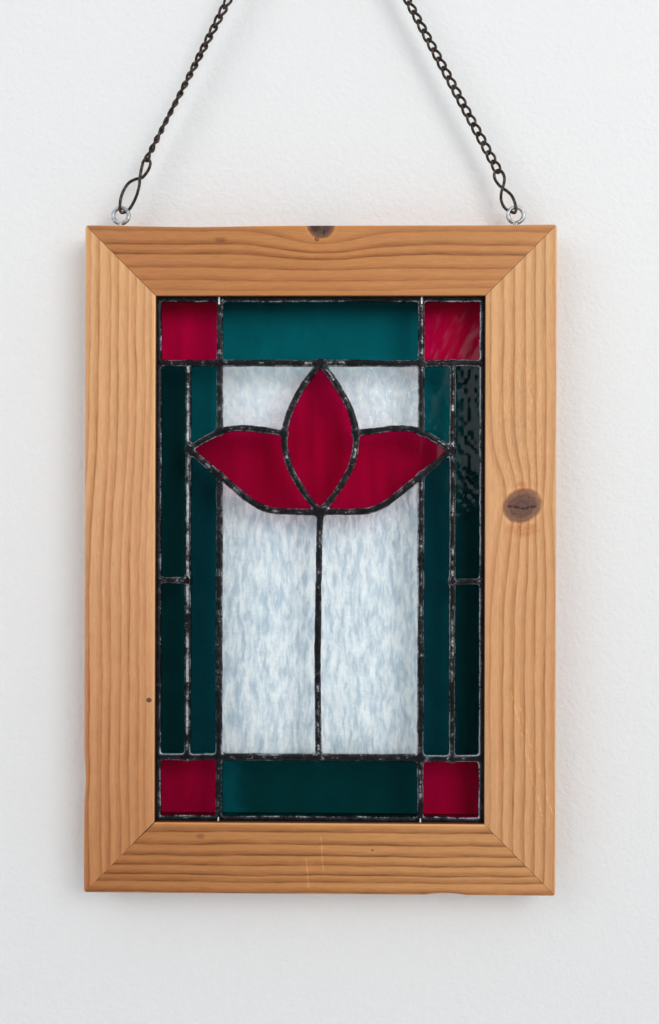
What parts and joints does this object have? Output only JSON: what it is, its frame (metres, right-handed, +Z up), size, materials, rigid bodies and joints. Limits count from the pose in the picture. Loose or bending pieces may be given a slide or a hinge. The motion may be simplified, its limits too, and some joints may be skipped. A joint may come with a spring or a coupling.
{
  "type": "stained glass window",
  "caption": "Small framed stained glass panel with a three-petalled flower on a stem, green border strips and red corners, in a mitred pine frame hung on a chain.",
  "frame": {"origin": "hanging point: the underside of the middle link's upper side, where a nail carries the chain, in the frame's mid-plane", "axes": "+Z up, +X to the right as seen from the front, the front faces -Y"},
  "size_m": [0.21, 0.018, 0.4799],
  "materials": {
    "pine": "oiled knotty pine, satin",
    "solder": "copper foil and solder with black patina, worn bright on the crests",
    "glass_red": "smooth ruby art glass",
    "glass_green": "dark teal green streaky glass",
    "glass_clear": "clear rippled glass",
    "zinc": "bright zinc plated steel",
    "chain_metal": "dark antiqued steel"
  },
  "bodies": {
    "root": {"frame_rail_top": "pine", "frame_rail_bottom": "pine", "frame_stile_left": "pine", "frame_stile_right": "pine", "solder_lattice": "solder", "glass_bar_top": "glass_green", "glass_bar_bottom": "glass_green", "glass_outer_strip_upper_left": "glass_green", "glass_outer_strip_upper_right": "glass_green", "glass_outer_strip_lower_left": "glass_green", "glass_outer_strip_lower_right": "glass_green", "glass_inner_strip_upper_left": "glass_green", "glass_inner_strip_upper_right": "glass_green", "glass_inner_strip_lower_left": "glass_green", "glass_inner_strip_lower_right": "glass_green", "glass_corner_top_left": "glass_red", "glass_corner_top_right": "glass_red", "glass_corner_bottom_left": "glass_red", "glass_corner_bottom_right": "glass_red", "glass_petal_middle": "glass_red", "glass_petal_side_left": "glass_red", "glass_petal_side_right": "glass_red", "glass_clear_upper_left": "glass_clear", "glass_clear_upper_right": "glass_clear", "glass_clear_lower_left": "glass_clear", "glass_clear_lower_right": "glass_clear", "screw_eye_left": "zinc", "screw_eye_right": "zinc", "wire_link_left": "chain_metal", "wire_link_right": "chain_metal", "chain_left": "chain_metal", "chain_right": "chain_metal", "chain_middle_link": "chain_metal"}
  },
  "joints": []
}
